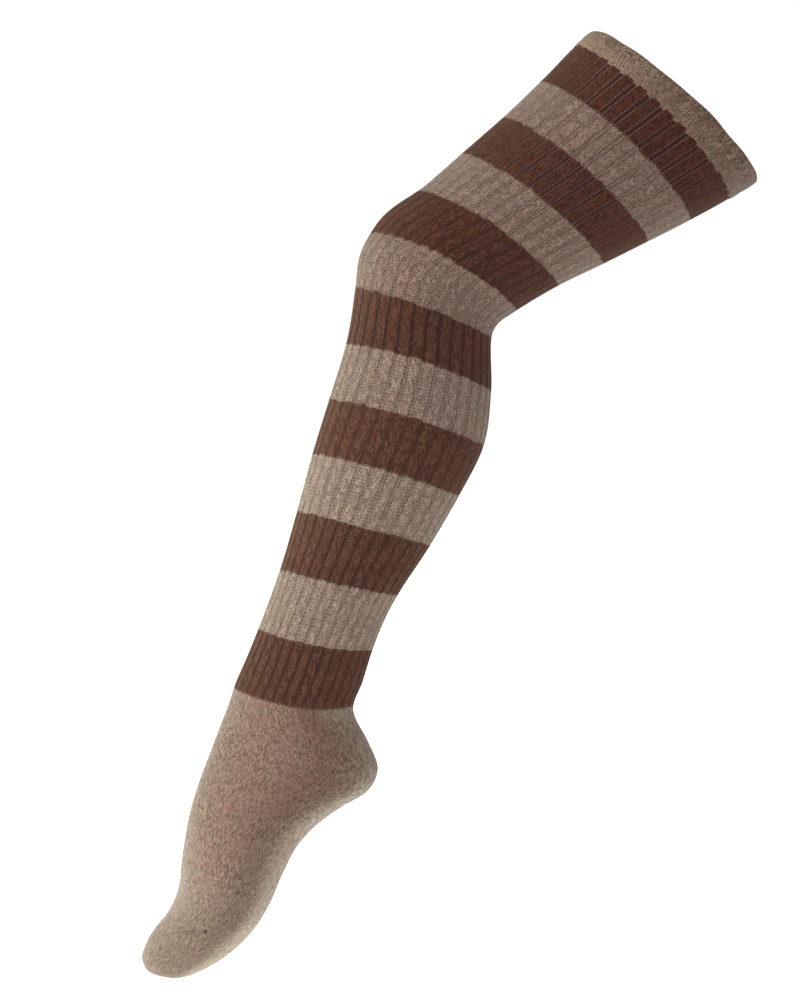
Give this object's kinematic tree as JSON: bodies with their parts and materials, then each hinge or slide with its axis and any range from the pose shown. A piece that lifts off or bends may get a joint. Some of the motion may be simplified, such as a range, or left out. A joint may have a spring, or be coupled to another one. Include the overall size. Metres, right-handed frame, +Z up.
{
  "type": "over-the-knee sock",
  "caption": "Over-the-knee sock in ribbed knit with brown and beige stripes, a plain beige foot and a double hem, hollow and filled out as worn with the knee bent.",
  "frame": {"origin": "middle of the leg opening, in the plane of its rim", "axes": "+X towards the back of the thigh, -X towards the shin and the toes, +Z up, +Y to one side of the leg; the two sides are alike"},
  "size_m": [0.4908, 0.1636, 0.755],
  "materials": {
    "brown_yarn": "soft dark brown yarn in rib knit, matt, with a little fuzz",
    "beige_yarn": "soft heather beige yarn in rib and plain knit, matt, with a little fuzz"
  },
  "bodies": {
    "root": {"welt": "beige_yarn", "thigh_brown_1": "brown_yarn", "thigh_beige_1": "beige_yarn", "thigh_brown_2": "brown_yarn", "thigh_beige_2": "beige_yarn", "thigh_brown_3": "brown_yarn", "knee_beige": "beige_yarn", "calf_brown_1": "brown_yarn", "calf_beige_1": "beige_yarn", "calf_brown_2": "brown_yarn", "calf_beige_2": "beige_yarn", "calf_brown_3": "brown_yarn", "calf_beige_3": "beige_yarn", "ankle_brown": "brown_yarn", "heel": "beige_yarn", "foot": "beige_yarn", "toe": "beige_yarn"}
  },
  "joints": []
}
